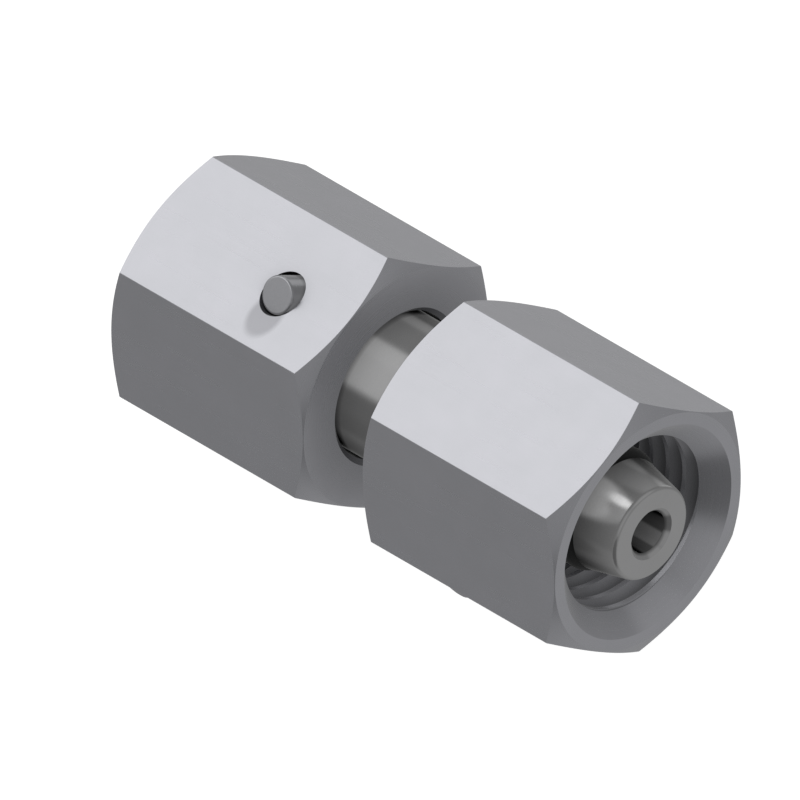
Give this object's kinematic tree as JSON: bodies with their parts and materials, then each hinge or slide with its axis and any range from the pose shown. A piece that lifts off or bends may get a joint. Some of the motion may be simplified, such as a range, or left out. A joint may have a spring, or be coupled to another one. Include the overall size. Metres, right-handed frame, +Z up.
{
  "type": "tube fitting",
  "caption": "Straight hydraulic tube union: turned spindle with a sealed cone at each end, inside hexagon swivel nuts with internal threads, each held on by a hidden thrust wire.",
  "frame": {"origin": "centre of the bounding box's underside: midway between the nuts, on the surface that they rest on", "axes": "+X along the fitting's axis, from nut 1 to nut 2; +Z up, square to the flats that the nuts rest on"},
  "size_m": [0.041, 0.0196, 0.018],
  "materials": {
    "turned_steel": "turned, zinc-plated, bright",
    "nut_steel": "zinc-plated, satin",
    "wire_steel": "drawn wire, satin",
    "seal_rubber": "moulded nitrile rubber, dull"
  },
  "bodies": {
    "spindle_body": {"spindle": "turned_steel", "o_ring_1": "seal_rubber", "o_ring_2": "seal_rubber"},
    "nut_body_1": {"swivel_nut_1": "nut_steel", "thrust_wire_1": "wire_steel"},
    "nut_body_2": {"swivel_nut_2": "nut_steel", "thrust_wire_2": "wire_steel"}
  },
  "joints": [
    {"name": "nut_turn_1", "type": "hinge", "parent": "spindle_body", "child": "nut_body_1", "pos_m": [0, 0, 0.0085], "axis": [1, 0, 0], "continuous": true},
    {"name": "nut_turn_2", "type": "hinge", "parent": "spindle_body", "child": "nut_body_2", "pos_m": [0, 0, 0.0085], "axis": [1, 0, 0], "continuous": true}
  ]
}
